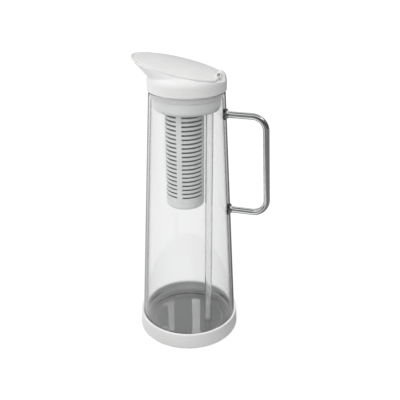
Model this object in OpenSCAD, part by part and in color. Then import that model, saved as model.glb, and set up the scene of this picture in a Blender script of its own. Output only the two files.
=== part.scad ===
// Glass water pitcher with a filter: a tapered jug in a moulded base cup, a lid whose
// beak-shaped trough is covered by a hinged flap, and a stopper that carries a slotted filter
// and an air tube. The filter lets the water out and the tube lets air in while it pours.
// The origin is the centre of the base's underside. +X runs to the handle, -X to the spout.

/* [Jug] */
// Height of the glass rim above the table
rim_z = 303.7; // [260:0.1:340]
// Outside diameter of the glass at the rim
rim_d = 84; // [82:0.5:92]
// Outside diameter of the glass at its foot
foot_d = 119; // [108:0.5:130]
// Thickness of the glass wall
glass_t = 2.6; // [2:0.1:3]
// Thickness of the glass floor
glass_floor = 2.2; // [1.8:0.1:4]
// Outside radius of the rounded heel
heel_r = 5.5; // [4:0.5:9]
// Inside radius where the wall meets the floor
heel_in_r = 3.5; // [2:0.5:6]

/* [Base] */
// Height of the base cup
cup_h = 19.7; // [14:0.1:28]
// Wall of the base cup
cup_wall = 1.5; // [1:0.1:2.5]
// Floor of the base cup
cup_floor = 1.2; // [1:0.1:3]
// Height of the lip that hides the liner's edge
cup_lip = 2; // [1:0.1:3]
// Radius round the underside of the cup
cup_foot_r = 1.2; // [0.6:0.1:2]
// Thickness of the soft liner
liner_t = 0.9; // [0.6:0.1:2]

/* [Handle] */
// Diameter of the polished steel rod
rod_d = 7.3; // [6:0.1:10]
// Height of the upper bar's centre
bar_high_z = 278.7; // [230:0.1:285]
// Height of the lower bar's centre
bar_low_z = 165.3; // [110:0.1:190]
// Distance from the glass to the grip's centre line
grip_reach = 44.2; // [34:0.1:56]
// Radius of the bends, on the centre line
bend_r = 16; // [10:0.5:22]
// Diameter of the flared foot on the glass
flare_d = 12; // [10.5:0.1:16]
// Length of the flared foot
flare_len = 4; // [2.5:0.1:6]

/* [Lid head] */
// Height of the hinge deck above the head's lower edge
head_h = 12.5; // [11:0.1:18]
// How far the head stands out past the glass
head_out = 1.3; // [0.2:0.1:2.5]
// Radius of the shoulder that rises from the head's wall towards the flap
shoulder_r = 10; // [7:0.1:13]
// How far below the deck that shoulder starts
shoulder_drop = 3; // [1:0.1:4]
// Thickness of the deck that carries the hinge
deck_t = 2.5; // [2:0.1:3.5]
// Wall of the spout trough
trough_wall = 2.2; // [1.6:0.1:3]

/* [Spout] */
// Length of the trough's rim, along its slope
spout_len = 106; // [100:0.5:114]
// Width of the trough's rim
spout_w = 74; // [66:0.5:80]
// Slope of the trough's rim in degrees
spout_tilt = 11.5; // [9:0.1:12.5]
// How far the rim's centre lies in front of the jug's axis
spout_shift = 9.5; // [8:0.1:13]
// Height of the rim's centre above the head
spout_rise = 10.3; // [10:0.1:14]
// Wall between the trough and the air tube's socket
bulkhead_t = 2.7; // [2:0.1:5]
// Width of the ledge where the trough opens above the stopper
trough_ledge = 0.8; // [0.5:0.1:1.2]
// Height of the lip that stands in front of the flap's tip
lip_h = 1.6; // [0.8:0.1:2]
// Length of that lip, back from the spout's tip
lip_len = 11; // [6:0.1:12]
// Width of the step on the rim outside that lip
lip_step = 0.4; // [0.3:0.05:0.6]

/* [Flap] */
// Thickness of the flap at its edge
flap_edge = 1.4; // [1:0.1:2]
// Thickness of the flap's crowned roof
flap_t = 1.6; // [1.2:0.1:2.2]
// Height of the crown above the edge
flap_crown = 2.4; // [1.5:0.1:4]
// Width of the solid margin round the flap's hollow underside
flap_margin = 4.5; // [4:0.1:6]
// How far the spout's lip shows in front of the flap
lip_show = 3; // [2:0.1:4]
// Depth of the skirt that drops into the trough
skirt_h = 2.4; // [1.5:0.1:4]
// Thickness of the skirt
skirt_t = 1.2; // [0.8:0.1:2]

/* [Hinge] */
// Diameter of the hinge pin
pin_d = 3; // [2:0.1:3.4]
// Outside diameter of the hinge knuckles
knuckle_d = 5.8; // [5.4:0.1:6.4]
// Width of the lug between the knuckles
lug_w = 5.4; // [4:0.1:10]
// Width of each knuckle
knuckle_w = 3.2; // [2.5:0.1:5]
// Distance of the pin behind the deck's front edge
hinge_back = 6.5; // [6:0.1:7.5]
// Height of the pin above the head
hinge_rise = 5.6; // [5.3:0.1:6.5]
// Radius of the round hump behind the lug
hump_r = 6.4; // [5.5:0.1:7]
// Length of the strap that runs from the flap up to each knuckle
strap_len = 7; // [5:0.1:12]
// Depth of the recess round each end of the pin
pin_recess = 0.8; // [0.4:0.1:1.2]

/* [Stopper] */
// Depth of the stopper below the rim
plug_depth = 21.7; // [19:0.1:28]
// Wall of the stopper
plug_wall = 1.9; // [1.5:0.1:2.3]
// Floor of the stopper
plug_floor = 2.4; // [2:0.1:3]
// Radius round the stopper's lower edge
plug_round = 5.5; // [3:0.5:6]
// How far the lower wall of the stopper draws in
plug_draft = 0.7; // [0.2:0.1:1.2]
// Height of the collar that snaps into the head
collar_h = 5.5; // [4:0.1:7]
// Height of the neck seal
seal_h = 6.2; // [5:0.1:8]
// Thickness of the neck seal from its groove to its lips
seal_t = 2.9; // [2.2:0.1:3.4]
// How far the seal stands out from the stopper
seal_proud = 1.5; // [0.8:0.1:2]
// Thickness of the flange above the seal
flange_t = 0.9; // [0.7:0.1:1.6]

/* [Filter] */
// Outside diameter of the filter sleeve
filter_d = 44; // [42:0.5:45]
// Length of the filter with its cap
filter_len = 113.7; // [80:0.1:140]
// How far the filter lies in front of the jug's axis
filter_shift = 3; // [2.5:0.1:6]
// Wall of the sleeve
sleeve_wall = 1.8; // [1.2:0.1:2]
// Distance from one row of slots to the next
slot_pitch = 4.97; // [4:0.01:8]
// Height of a slot
slot_h = 2.1; // [1.2:0.1:3]
// Distance from the sleeve's top to the first row
slot_start = 4.5; // [3.5:0.1:10]
// Least plain height below the last row
slot_end = 6; // [5:0.1:20]
// Number of ribs between the windows
rib_count = 4; // [3:1:6]
// Width of a rib in degrees
rib_angle = 16; // [10:1:24]
// How far the ribs stand out from the bands
rib_set = 0.3; // [0.1:0.1:0.6]
// Visible height of the cap
cap_h = 7.2; // [6:0.1:12]
// Floor of the cap
cap_floor = 3; // [2:0.1:4]
// Radius round the cap's lower edge
cap_round = 2.5; // [1:0.1:4]
// Height of the ring by which the cap holds in the sleeve
cap_ring = 4.8; // [3:0.1:5.5]
// Thickness of that ring
cap_ring_t = 1; // [0.7:0.1:1.4]
// Floor of the collar that takes the spigot
collar_floor = 2; // [1.5:0.1:3]
// Thickness of the wrap round the block
mesh_t = 0.5; // [0.3:0.1:0.8]
// Diameter of the channel in the block
core_d = 10; // [6:0.5:14]
// Thickness of the block's end washers
washer_t = 1; // [0.6:0.1:1.6]

/* [Spigot] */
// Outside diameter of the spigot
spigot_d = 32; // [30:0.5:33]
// Wall of the spigot
spigot_wall = 2.6; // [2.2:0.1:3]
// Length of the spigot
spigot_len = 7; // [6:0.1:9]
// Space left between the spigot's end and the floor of its collar
spigot_space = 2; // [1:0.1:3]
// Thickness of the O-ring's cord
oring_d = 2; // [1.6:0.1:2.2]

/* [Air tube] */
// Outside diameter of the tube
tube_d = 8.6; // [7:0.1:9]
// Wall of the tube
tube_wall = 0.8; // [0.6:0.1:1.2]
// Gap between the filter and the tube
tube_space = 2.3; // [2:0.1:2.8]
// Height of the tube's end above the jug's floor
tube_lift = 0.8; // [0.6:0.1:6]
// Thickness of the bush round the tube
bush_t = 1.2; // [0.9:0.1:1.4]
// How far the bush stands out of the stopper's floor on each side
bush_lip = 0.8; // [0.4:0.1:1]
// How far the bush's flange reaches over the floor
bush_flange = 0.5; // [0.3:0.1:0.6]
// Depth of the tube's socket in the head
socket_h = 2.5; // [1.5:0.1:3]

/* [Fits] */
// Clearance round a turning pin
gap_run = 0.05; // [0.02:0.01:0.1]
// Clearance between pieces that are fitted together
gap_fit = 0.1; // [0.05:0.01:0.15]
// Clearance between pieces that move past each other
gap_move = 0.3; // [0.2:0.05:0.5]
// Gap between the head and the rim it rests on
gap_rest = 0.2; // [0.1:0.05:0.4]

/* [Hidden] */
$fn = 96;
// How far a cutting shape runs past the surface that it cuts
over = 1;
// Sides of the rod's cross-section, and steps round each bend and flare
rod_sides = 32;
bend_steps = 12;
flare_steps = 5;
// Sides of the trough's and the flap's outlines, and rings that shape the flap's crown
oval_sides = 64;
crown_rings = 5;
// A block larger than the whole pitcher, for cutting half spaces
huge = 400;
// Steps round a rounded edge of a turned profile
arc_steps = 6;

// Glass: the wall is a straight taper, so any height gives its radius
glass_z0 = cup_floor + liner_t;
rim_r = rim_d / 2;
taper = (foot_d - rim_d) / 2 / (rim_z - glass_z0);
slant = sqrt(1 + taper * taper);
wall_angle = atan(taper);
glass_floor_z = glass_z0 + glass_floor;
neck_r = rim_r - glass_t * slant;

// Base: liner and cup follow the glass at named clearances
liner_gap = gap_fit * slant;
liner_out = liner_gap + liner_t * slant;
cup_in = liner_out + gap_fit * slant;
cup_out = cup_in + cup_wall * slant;
cup_lip_z = cup_h - cup_lip;

// Handle
rod_r = rod_d / 2;

// Lid head and the sloping plane of the trough's rim
head_z0 = rim_z + gap_rest;
head_top = head_z0 + head_h;
head_r = rim_r + head_out;
shoulder_z = head_top - shoulder_drop;
// Angle through which the shoulder's arc runs, and the height where it ends
shoulder_turn = 75;
shoulder_top = shoulder_z + shoulder_r * sin(shoulder_turn);
// How far inside the glass rim and below the deck the trough's outer skin starts, within the shoulder
skin_in = 3;
skin_drop = 1;
rim_a = spout_len / 2;
rim_b = spout_w / 2;
trough_z = head_top + spout_rise;
deck_under = head_top - deck_t;

// Stopper
seal_r = neck_r - gap_move;
groove_r = seal_r - seal_t - gap_fit;
plug_r = seal_r - seal_proud;
collar_r = groove_r - plug_wall / 2;
plug_in_r = collar_r - plug_wall;
bore_head_r = collar_r + gap_fit;
flange_r = (plug_r + seal_r) / 2;
flange_z = head_z0 - flange_t;
groove_z = flange_z - seal_h - 2 * gap_fit;
plug_z0 = rim_z - plug_depth;
plug_low_r = plug_r - plug_draft;

// Filter and its inside, from the sleeve inwards
filter_x = -filter_shift;
filter_r = filter_d / 2;
filter_top = plug_z0 - gap_move;
filter_z0 = filter_top - filter_len;
sleeve_z0 = filter_z0 + cap_h;
sleeve_len = filter_len - cap_h;
sleeve_in = filter_r - sleeve_wall;
slot_rows = floor((sleeve_len - slot_start - slot_end) / slot_pitch) + 1;
spigot_r = spigot_d / 2;
spigot_in = spigot_r - spigot_wall;
spigot_z0 = plug_z0 - spigot_len;
oring_r = oring_d / 2;
oring_z = plug_z0 - spigot_len / 2;
oring_reach = spigot_r + gap_move;
collar_in = oring_reach + gap_fit;
collar_out = sleeve_in - gap_fit;
collar_seat_z = spigot_z0 - spigot_space;
collar_z0 = collar_seat_z - collar_floor;
ring_in = collar_out - cap_ring_t;
mesh_r = ring_in - gap_fit;
block_r = mesh_r - mesh_t - gap_fit;
block_z0 = filter_z0 + cap_floor + washer_t;
block_top = collar_z0 - washer_t;

// Air tube
tube_r = tube_d / 2;
tube_in = tube_r - tube_wall;
tube_x = filter_x + filter_r + tube_space + tube_r;
tube_z0 = glass_floor_z + tube_lift;
tube_top = deck_under + socket_h;
bush_r = tube_r + gap_run + bush_t;

// Trough and hinge deck: both keep clear of the tube's socket between them
trough_back = tube_x - tube_r - gap_fit - bulkhead_t;
deck_front = tube_x + tube_r + gap_fit;

// Hinge
pin_r = pin_d / 2;
knuckle_r = knuckle_d / 2;
hinge_x = deck_front + hinge_back;
hinge_z = head_top + hinge_rise;
lug_half = lug_w / 2;
knuckle_in = lug_half + gap_move;
knuckle_out = knuckle_in + knuckle_w;
lug_swing = knuckle_r + 2 * gap_move;
// Hump: it starts a little behind the lug's front and ends inside the head's edge
hump_front = hinge_x - knuckle_r + gap_move;
hump_x = head_r - gap_move - hump_r;
hump_z = hinge_z + knuckle_r + gap_move - hump_r;

// Flap: same slope as the rim, drawn in at the front so that the lip shows. Its skirt is drawn in
// further, by as much as the trough's keel closes in over the skirt's depth.
flap_a = rim_a - lip_show / 2;
flap_dx = lip_show / 2;
hollow_a = flap_a - flap_margin;
hollow_b = rim_b - flap_margin;
keel_x = spout_shift + trough_ledge - bore_head_r;
keel_z = deck_under - trough_ledge - trough_z;
keel_run = rim_a - trough_wall + keel_x * cos(spout_tilt) - keel_z * sin(spout_tilt);
keel_depth = -keel_x * sin(spout_tilt) - keel_z * cos(spout_tilt);
skirt_draw = skirt_h * keel_run / keel_depth;
skirt_dx = skirt_draw / 2;
skirt_a = rim_a - trough_wall - 2 * gap_move - skirt_draw / 2;
skirt_b = rim_b - trough_wall - 2 * gap_move;
skirt_back = trough_back - 3 * gap_move;

// Radius of the glass outside at height z
function glass_r(z) = rim_r + (rim_z - z) * taper;

// Lower and upper edge of the sleeve's band that lies above a row of slots
function band_z0(row) =
    row == slot_rows ? sleeve_z0 + gap_fit : filter_top - slot_start - row * slot_pitch + slot_h / 2;
function band_z1(row) =
    row == 0 ? filter_top : filter_top - slot_start - (row - 1) * slot_pitch - slot_h / 2;

// Points of an arc about [x, z], from angle a0 to a1
function arc(x, z, r, a0, a1) = [
    for (i = [0 : arc_steps])
        let (a = a0 + (a1 - a0) * i / arc_steps) [x + r * cos(a), z + r * sin(a)]
];

// Foot of a wall that stands off the glass by dr: a heel of radius r up to height z1
function heel(dr, z, r, z1) = concat(
    arc(glass_r(z + r) + dr - r * slant, z + r, r, -90, wall_angle),
    [[glass_r(z1) + dr, z1]]
);

// Height of the middle of the flap's edge at x
function flap_z(x) =
    trough_z - (x + spout_shift) * tan(spout_tilt) + (gap_move + flap_edge / 2) / cos(spout_tilt);

// Stations of a flare on the glass at height z: [x, z, radius, direction of the normal]
function flare(z, normal) = concat(
    [[glass_r(z) - flare_len, z, flare_d / 2, normal]],
    [
        for (i = [0 : flare_steps])
            let (a = 90 * i / flare_steps)
                [
                    glass_r(z) + flare_len * (1 - cos(a)), z,
                    flare_d / 2 - (flare_d / 2 - rod_r) * sin(a), normal
                ]
    ]
);

// Stations of a bend about [x, z], from angle a0 to a1
function bend(x, z, a0, a1) = [
    for (i = [0 : bend_steps])
        let (a = a0 + (a1 - a0) * i / bend_steps)
            [x + bend_r * cos(a), z + bend_r * sin(a), rod_r, a]
];

// Reverses a list of points
function flip(p) = [for (i = [len(p) - 1 : -1 : 0]) p[i]];

// Outlines for loft(): a round section of the rod at a station
function rod_ring(s) = [
    for (k = [0 : rod_sides - 1])
        let (t = 360 * k / rod_sides, u = s[2] * cos(t))
            [s[0] + u * cos(s[3]), s[2] * sin(t), s[1] + u * sin(s[3])]
];

// Level circle of radius r at height z
function level_ring(r, z) = [
    for (k = [0 : oval_sides - 1])
        let (t = -360 * k / oval_sides) [r * cos(t), r * sin(t), z]
];

// Oval on the sloping plane of the trough's rim, moved back by dx and up by z along that plane
function rim_ring(a, b, z, dx = 0) = [
    for (k = [0 : oval_sides - 1])
        let (t = -360 * k / oval_sides, u = dx + a * cos(t))
            [
                u * cos(spout_tilt) + z * sin(spout_tilt) - spout_shift,
                b * sin(t),
                trough_z - u * sin(spout_tilt) + z * cos(spout_tilt)
            ]
];

// Ring or disc about the Z axis
module ring(ro, ri, z0, z1) {
    translate([0, 0, z0])
        difference() {
            cylinder(r = ro, h = z1 - z0);
            translate([0, 0, -over])
                cylinder(r = ri, h = z1 - z0 + 2 * over);
        }
}

// Cylinder across the pitcher, on the hinge's axis, from y0 to y1
module across(r, y0, y1) {
    translate([hinge_x, y0, hinge_z])
        rotate([-90, 0, 0])
            cylinder(r = r, h = y1 - y0);
}

// Everything behind the plane at x
module behind(x, z) {
    translate([x, -huge / 2, z])
        cube(huge);
}

// Moves its children on to the sloping plane of the trough's rim
module on_rim() {
    translate([-spout_shift, 0, trough_z])
        rotate([0, spout_tilt, 0])
            children();
}

// Closed skin over a row of outlines that have the same number of points
module loft(rings) {
    n = len(rings[0]);
    last = (len(rings) - 1) * n;
    sides = [
        for (i = [0 : len(rings) - 2], k = [0 : n - 1])
            let (a = i * n + k, b = i * n + (k + 1) % n)
                each [[a, b + n, a + n], [a, b, b + n]]
    ];
    ends = [for (k = [1 : n - 2]) each [[0, k + 1, k], [last, last + k, last + k + 1]]];
    polyhedron([for (r = rings, p = r) p], concat(sides, ends));
}

// Crowned oval: outlines shrink towards the middle as the crown rises
module crown(a, b, z0, base, rise) {
    loft(concat(
        [rim_ring(a, b, z0, flap_dx)],
        [
            for (i = [0 : crown_rings - 1])
                let (k = 1 - i / crown_rings)
                    rim_ring(a * k, b * k, base + rise * (1 - k * k), flap_dx)
        ]
    ));
}

module jug_body() {
    color([0.86, 0.9, 0.9, 0.35])
        rotate_extrude()
            polygon(concat(
                [[0, glass_z0]],
                heel(0, glass_z0, heel_r, rim_z - glass_t / 2),
                arc(neck_r + glass_t / 2, rim_z - glass_t / 2, glass_t / 2, 0, 180),
                flip(heel(-glass_t * slant, glass_floor_z, heel_in_r, rim_z - glass_t)),
                [[0, glass_floor_z]]
            ));
}

// Grip parallel to the wall, two bends and two flared feet that follow the glass
module jug_handle() {
    high_z = bar_high_z - bend_r;
    low_z = bar_low_z + bend_r;
    centre_dx = (grip_reach - bend_r) * slant;
    stations = concat(
        flare(bar_high_z, 90),
        bend(glass_r(high_z) + centre_dx, high_z, 90, wall_angle),
        bend(glass_r(low_z) + centre_dx, low_z, wall_angle, -90),
        flip(flare(bar_low_z, -90))
    );
    color([0.75, 0.76, 0.77])
        difference() {
            loft([for (s = stations) rod_ring(s)]);
            cylinder(r1 = glass_r(0) + gap_run, r2 = glass_r(rim_z) + gap_run, h = rim_z);
        }
}

module base_liner() {
    color([0.45, 0.46, 0.47])
        rotate_extrude()
            polygon(concat(
                [[0, cup_floor]],
                heel(liner_out, cup_floor, heel_r + liner_t, cup_lip_z - gap_fit),
                flip(heel(liner_gap, glass_z0, heel_r, cup_lip_z - gap_fit)),
                [[0, glass_z0]]
            ));
}

module base_cup() {
    color([0.95, 0.95, 0.94])
        rotate_extrude()
            polygon(concat(
                [[0, 0]],
                heel(cup_out, 0, cup_foot_r, cup_h - cup_wall / 2),
                arc(glass_r(cup_h) + cup_out - cup_wall / 2, cup_h - cup_wall / 2, cup_wall / 2, 0, 90),
                [[glass_r(cup_h) + liner_gap, cup_h], [glass_r(cup_lip_z) + liner_gap, cup_lip_z]],
                flip(heel(cup_in, cup_floor, heel_r + liner_t, cup_lip_z)),
                [[0, cup_floor]]
            ));
}

// Seal with a bead at each end that reaches towards the glass
module neck_seal() {
    bead = seal_proud;
    color([0.9, 0.9, 0.9])
        rotate_extrude() {
            translate([seal_r - seal_t, groove_z + gap_fit])
                square([seal_t - bead / 2, seal_h]);
            for (z = [groove_z + gap_fit + bead / 2, flange_z - gap_fit - bead / 2])
                translate([seal_r - bead / 2, z])
                    circle(bead / 2);
        }
}

// Head's wall and its rounded shoulder, cut just below the sloping plane of the rim
module shoulder() {
    difference() {
        rotate_extrude()
            polygon(concat(
                [[0, head_z0], [head_r, head_z0]],
                arc(head_r - shoulder_r, shoulder_z, shoulder_r, 0, shoulder_turn),
                [[0, shoulder_top]]
            ));
        on_rim()
            translate([-huge / 2, -huge / 2, -gap_move])
                cube(huge);
    }
}

// Outer skin of the trough: a round inside the shoulder drawn out to the sloping oval rim
module trough_outside() {
    loft([level_ring(rim_r - skin_in, head_top - skin_drop), rim_ring(rim_a, rim_b, 0)]);
}

// Crescent that stands on the rim in front of the flap's tip
module lip() {
    difference() {
        loft([
            rim_ring(rim_a - lip_step, rim_b - lip_step, -gap_move),
            rim_ring(rim_a - lip_step, rim_b - lip_step, lip_h)
        ]);
        loft([
            rim_ring(flap_a + gap_move, rim_b, -gap_move - over, flap_dx),
            rim_ring(flap_a + gap_move, rim_b, lip_h + over, flap_dx)
        ]);
        on_rim()
            translate([lip_len - rim_a, -huge / 2, -huge / 2])
                cube(huge);
    }
}

module trough_inside() {
    difference() {
        loft([
            level_ring(bore_head_r - trough_ledge, deck_under - trough_ledge),
            rim_ring(rim_a - trough_wall, rim_b - trough_wall, 0),
            rim_ring(rim_a - trough_wall, rim_b - trough_wall, over)
        ]);
        behind(trough_back, 0);
    }
}

module lid_head() {
    vent_r = tube_in - gap_move;
    color([0.96, 0.96, 0.95])
        difference() {
            union() {
                difference() {
                    union() {
                        shoulder();
                        trough_outside();
                        lip();
                    }
                    behind(deck_front, head_top);
                }
                across(knuckle_r, -lug_half, lug_half);
                translate([hinge_x - knuckle_r, -lug_half, head_top - over])
                    cube([knuckle_d, lug_w, hinge_rise + over]);
                intersection() {
                    translate([hump_x, -lug_half, hump_z])
                        rotate([-90, 0, 0])
                            cylinder(r = hump_r, h = lug_w);
                    translate([hump_front, -lug_half, head_top - over])
                        cube([huge, lug_w, huge]);
                }
            }
            translate([0, 0, head_z0 - over])
                cylinder(r = bore_head_r, h = deck_under - head_z0 + over);
            trough_inside();
            across(pin_r + gap_run, -knuckle_out, knuckle_out);
            translate([tube_x, 0, deck_under - over])
                cylinder(r = tube_r + gap_fit, h = socket_h + over);
            translate([tube_x, 0, deck_under])
                cylinder(r = vent_r, h = trough_z - deck_under);
            translate([tube_x, -vent_r, head_top])
                cube([deck_front - tube_x + over, 2 * vent_r, trough_z - head_top]);
        }
}

module plug() {
    color([0.9, 0.91, 0.91])
        difference() {
            union() {
                rotate_extrude()
                    polygon(concat(
                        [[0, plug_z0]],
                        arc(plug_low_r - plug_round, plug_z0 + plug_round, plug_round, -90, 0),
                        [
                            [plug_r, groove_z], [groove_r, groove_z], [groove_r, flange_z],
                            [flange_r, flange_z], [flange_r, head_z0], [collar_r, head_z0],
                            [collar_r, head_z0 + collar_h], [plug_in_r, head_z0 + collar_h]
                        ],
                        arc(plug_in_r - plug_round, plug_z0 + plug_floor + plug_round, plug_round, 0, -90),
                        [[0, plug_z0 + plug_floor]]
                    ));
                translate([filter_x, 0, spigot_z0])
                    cylinder(r = spigot_r, h = spigot_len + plug_floor / 2);
            }
            translate([filter_x, 0, spigot_z0 - over])
                cylinder(r = spigot_in, h = spigot_len + plug_floor + 2 * over);
            translate([filter_x, 0, 0])
                ring(spigot_r + over, oring_reach - oring_d, oring_z - oring_r, oring_z + oring_r);
            translate([tube_x, 0, plug_z0 - over])
                cylinder(r = bush_r + gap_run, h = plug_floor + plug_round);
        }
}

module hinge_pin() {
    color([0.75, 0.76, 0.78])
        across(pin_r, pin_recess / 2 - knuckle_out, knuckle_out - pin_recess / 2);
}

module air_tube() {
    color([0.85, 0.88, 0.88, 0.4])
        translate([tube_x, 0, 0])
            ring(tube_r, tube_in, tube_z0, tube_top - gap_fit);
}

module tube_bush() {
    color([0.85, 0.85, 0.85])
        translate([tube_x, 0, 0])
            rotate_extrude()
                translate([tube_r + gap_run, plug_z0 - bush_lip]) {
                    square([bush_t, plug_floor + 2 * bush_lip]);
                    square([bush_t + bush_flange, bush_lip]);
                }
}

module spigot_ring() {
    color([0.3, 0.3, 0.3])
        translate([filter_x, 0, oring_z])
            rotate_extrude()
                translate([oring_reach - oring_r, 0])
                    circle(oring_r - gap_run);
}

// Strap from the flap's roof up to a knuckle that starts at y
module flap_strap(y) {
    top = knuckle_r * sqrt(0.5);
    translate([0, y + knuckle_w, 0])
        rotate([90, 0, 0])
            linear_extrude(knuckle_w)
                polygon([
                    [hinge_x - strap_len, flap_z(hinge_x - strap_len)], [hinge_x - top, hinge_z + top],
                    [hinge_x, hinge_z], [hinge_x, flap_z(hinge_x)]
                ]);
}

module spout_flap() {
    color([0.97, 0.97, 0.96])
        difference() {
            union() {
                difference() {
                    crown(flap_a, rim_b, gap_move, gap_move + flap_edge, flap_crown);
                    crown(hollow_a, hollow_b, 0, gap_move + flap_edge - flap_t, flap_crown);
                    behind(hinge_x, 0);
                }
                difference() {
                    on_rim()
                        translate([skirt_dx, 0, gap_move - skirt_h])
                            linear_extrude(skirt_h + flap_edge / 2)
                                difference() {
                                    scale([skirt_a / skirt_b, 1])
                                        circle(skirt_b, $fn = oval_sides);
                                    scale([(skirt_a - skirt_t) / (skirt_b - skirt_t), 1])
                                        circle(skirt_b - skirt_t, $fn = oval_sides);
                                }
                    behind(skirt_back, 0);
                }
                for (y = [-knuckle_out, knuckle_in]) {
                    across(knuckle_r, y, y + knuckle_w);
                    flap_strap(y);
                }
            }
            translate([hinge_x - lug_swing - over, -knuckle_in, head_top])
                cube([huge, 2 * knuckle_in, huge]);
            across(pin_r + gap_run, -knuckle_out - over, knuckle_out + over);
            across(knuckle_r - pin_recess, -knuckle_out - over, pin_recess - knuckle_out);
            across(knuckle_r - pin_recess, knuckle_out - pin_recess, knuckle_out + over);
        }
}

// Slotted sleeve: level bands joined by upright ribs, so that each gap between bands is a row of slots
module filter_sleeve() {
    color([0.95, 0.95, 0.95])
        translate([filter_x, 0, 0])
            union() {
                for (row = [0 : slot_rows])
                    ring(filter_r, sleeve_in, band_z0(row), band_z1(row));
                for (rib = [0 : rib_count - 1])
                    rotate([0, 0, (rib * 360 / rib_count) - rib_angle / 2])
                        rotate_extrude(angle = rib_angle)
                            translate([sleeve_in + rib_set, sleeve_z0 + gap_fit + rib_set])
                                square([sleeve_wall, sleeve_len - gap_fit - 2 * rib_set]);
            }
}

module filter_cap() {
    color([0.95, 0.95, 0.95])
        translate([filter_x, 0, 0])
            rotate_extrude()
                polygon(concat(
                    [[0, filter_z0]],
                    arc(filter_r - cap_round, filter_z0 + cap_round, cap_round, -90, 0),
                    [
                        [filter_r, sleeve_z0], [collar_out, sleeve_z0],
                        [collar_out, sleeve_z0 + cap_ring], [ring_in, sleeve_z0 + cap_ring],
                        [ring_in, filter_z0 + cap_floor], [0, filter_z0 + cap_floor]
                    ]
                ));
}

module filter_collar() {
    color([0.3, 0.31, 0.32])
        translate([filter_x, 0, 0])
            rotate_extrude()
                polygon([
                    [core_d / 2, collar_z0], [collar_out, collar_z0], [collar_out, filter_top],
                    [collar_in, filter_top], [collar_in, collar_seat_z], [core_d / 2, collar_seat_z]
                ]);
}

module filter_mesh() {
    color([0.35, 0.36, 0.37])
        translate([filter_x, 0, 0])
            ring(mesh_r, mesh_r - mesh_t, block_z0, block_top);
}

module carbon_block() {
    color([0.15, 0.15, 0.16])
        translate([filter_x, 0, 0])
            ring(block_r, core_d / 2, block_z0, block_top);
}

module washer_top() {
    color([0.8, 0.8, 0.8])
        translate([filter_x, 0, 0])
            ring(block_r, core_d / 2, block_top, collar_z0);
}

module washer_bottom() {
    color([0.8, 0.8, 0.8])
        translate([filter_x, 0, 0])
            ring(block_r, core_d / 2, filter_z0 + cap_floor, block_z0);
}

jug_body();
jug_handle();
base_cup();
base_liner();
neck_seal();
lid_head();
plug();
hinge_pin();
air_tube();
tube_bush();
spigot_ring();
spout_flap();
filter_sleeve();
filter_cap();
filter_collar();
filter_mesh();
carbon_block();
washer_top();
washer_bottom();
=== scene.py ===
"""Looks of a glass water pitcher with a filter, built round its CAD frame.

Sizes below are in millimetres, and every mesh is stored in metres in the frame of the CAD model:
the origin is under the base, +Z is up, the handle lies on +X and the spout on -X.
"""

from math import atan, cos, hypot, pi, radians, sin, sqrt, tan

import bmesh
import bpy
import numpy as np
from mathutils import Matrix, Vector


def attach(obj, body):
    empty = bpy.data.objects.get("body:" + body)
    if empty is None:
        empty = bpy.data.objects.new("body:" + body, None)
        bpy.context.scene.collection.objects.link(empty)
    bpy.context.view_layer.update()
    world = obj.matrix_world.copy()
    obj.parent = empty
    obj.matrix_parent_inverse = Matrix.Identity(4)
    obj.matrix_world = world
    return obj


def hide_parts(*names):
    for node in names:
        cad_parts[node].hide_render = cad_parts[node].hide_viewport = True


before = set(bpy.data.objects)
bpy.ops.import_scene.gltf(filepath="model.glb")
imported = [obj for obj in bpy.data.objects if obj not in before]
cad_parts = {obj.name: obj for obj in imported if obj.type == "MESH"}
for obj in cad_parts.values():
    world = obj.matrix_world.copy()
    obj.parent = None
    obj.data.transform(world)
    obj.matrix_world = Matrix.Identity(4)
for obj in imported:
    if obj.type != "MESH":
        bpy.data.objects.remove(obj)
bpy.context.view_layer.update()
scene = bpy.context.scene

MM = 0.001
SIDES = 144
JOIN, CUT = "UNION", "DIFFERENCE"

# Glass jug: a straight taper, so any height gives its radius
RIM_Z, RIM_R, FOOT_R, GLASS_T = 303.7, 42.0, 59.5, 2.6
GLASS_Z, GLASS_FLOOR_Z, HEEL_R, HEEL_IN_R = 2.1, 4.3, 5.5, 14.0
TAPER = (FOOT_R - RIM_R) / (RIM_Z - GLASS_Z)
SLANT = hypot(1, TAPER)
NECK_R = RIM_R - GLASS_T * SLANT

# Base cup and its liner
CUP_H, CUP_LIP_Z, CUP_WALL, CUP_FLOOR, LINER_T = 19.7, 17.7, 1.5, 1.2, 0.9
FIT = 0.1
LINER_GAP = FIT * SLANT
LINER_OUT = LINER_GAP + LINER_T * SLANT
CUP_IN = LINER_OUT + FIT * SLANT
CUP_OUT = CUP_IN + CUP_WALL * SLANT

# Handle rod
ROD_R, BAR_HIGH_Z, BAR_LOW_Z, GRIP_REACH, BEND_R, BEND_STEPS = 3.65, 278.7, 165.3, 44.16, 16.0, 22
FLARE_R, FLARE_LEN, FLARE_WIDE, WELD_GAP = 6.0, 4.0, 1.45, 0.06

# Lid head, and the sloping oval rim of its trough
HEAD_Z, HEAD_TOP, HEAD_R, DECK_Z = 303.9, 316.4, 43.3, 313.9
SHOULDER_R, SHOULDER_Z, SHOULDER_TURN = 10.0, 313.4, radians(75)
LIP_H, LIP_LEN, LIP_STEP, LIP_SOFT, LIP_SUNK = 1.6, 11.0, 0.4, 0.45, 0.25
BORE_R, TILT, SHIFT, TROUGH_Z = 35.246, radians(11.5), 9.5, 326.7
RIM_A, RIM_B, TROUGH_WALL, LEDGE = 53.0, 37.0, 2.2, 0.8
TROUGH_BACK, DECK_FRONT, SKIN_IN, SKIN_Z = 18.5, 30.0, 3.0, 315.4

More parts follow.
